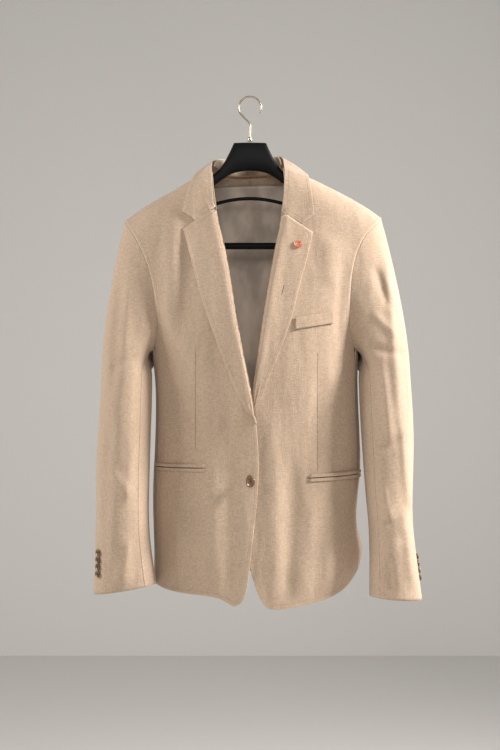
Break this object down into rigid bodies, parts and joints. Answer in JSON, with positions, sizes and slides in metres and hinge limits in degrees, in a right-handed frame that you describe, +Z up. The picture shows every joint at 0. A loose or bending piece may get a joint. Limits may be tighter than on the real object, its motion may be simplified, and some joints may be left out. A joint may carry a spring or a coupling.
{
  "type": "single-breasted jacket on a suit hanger",
  "caption": "Hip-length tailored jacket with notch lapels and jetted pockets, hanging unfastened on a wide-shoulder hanger with a wire hook.",
  "frame": {"origin": "inside of the crown of the hanger's hook, where it rests on a rail", "axes": "+Z up, -Y out of the front of the jacket, +X towards the wearer's left"},
  "size_m": [0.5598, 0.2161, 0.8831],
  "materials": {
    "cloth": "slubby linen-look weave, matte",
    "lining": "satin",
    "horn": "polished horn",
    "coral": "enamel",
    "hanger_black": "matte moulded",
    "steel": "drawn wire"
  },
  "bodies": {
    "root": {"back_left": "cloth", "back_right": "cloth", "breast_welt": "cloth", "button_front": "horn", "collar_fall": "cloth", "collar_stand": "cloth", "cuff_button_left_1": "horn", "cuff_button_left_2": "horn", "cuff_button_left_3": "horn", "cuff_button_left_4": "horn", "cuff_button_right_1": "horn", "cuff_button_right_2": "horn", "cuff_button_right_3": "horn", "cuff_button_right_4": "horn", "front_left": "cloth", "front_right": "cloth", "hanger_body": "hanger_black", "hanger_brace": "hanger_black", "hanger_hook": "steel", "hook_ferrule": "steel", "lapel_left": "cloth", "lapel_pin": "coral", "lapel_right": "cloth", "lining_back": "lining", "pocket_lower_left": "cloth", "pocket_lower_right": "cloth", "pocket_upper_left": "cloth", "pocket_upper_right": "cloth", "side_left": "cloth", "side_right": "cloth", "sleeve_top_left": "cloth", "sleeve_top_right": "cloth", "sleeve_under_left": "cloth", "sleeve_under_right": "cloth", "trouser_bar": "hanger_black"}
  },
  "joints": []
}
